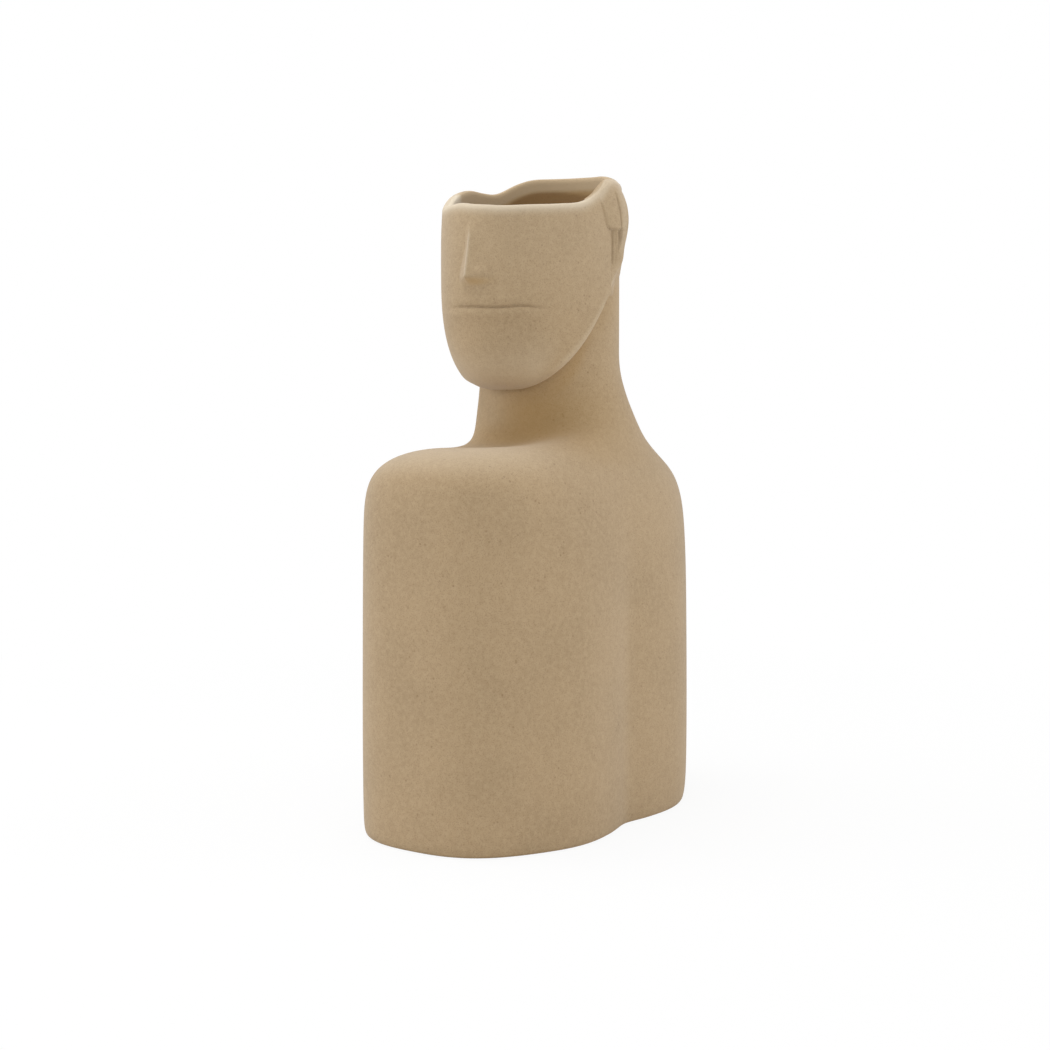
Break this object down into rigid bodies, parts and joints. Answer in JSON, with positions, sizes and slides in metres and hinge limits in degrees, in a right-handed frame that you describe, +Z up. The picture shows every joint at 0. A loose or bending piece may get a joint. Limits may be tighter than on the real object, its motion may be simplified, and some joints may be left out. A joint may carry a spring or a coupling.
{
  "type": "bust vase",
  "caption": "Unglazed sand-coloured clay vase in the form of a bust: a flat-fronted torso, a neck, and a turned head that is open above the face.",
  "frame": {"origin": "centre of the vase's outline in plan, on the plane it stands on", "axes": "+Z up; +X towards the vase's left shoulder, away from the side its face is turned to; -Y towards the chest"},
  "size_m": [0.2018, 0.1194, 0.3225],
  "materials": {
    "sand_clay": "unglazed, matt, finely sanded"
  },
  "bodies": {
    "root": {"torso_front": "sand_clay", "torso_back": "sand_clay", "base_plate": "sand_clay", "neck": "sand_clay", "head_back": "sand_clay", "face_mask": "sand_clay", "nose": "sand_clay", "ear_left": "sand_clay", "ear_right": "sand_clay", "ear_fold_left": "sand_clay", "ear_fold_right": "sand_clay"}
  },
  "joints": []
}
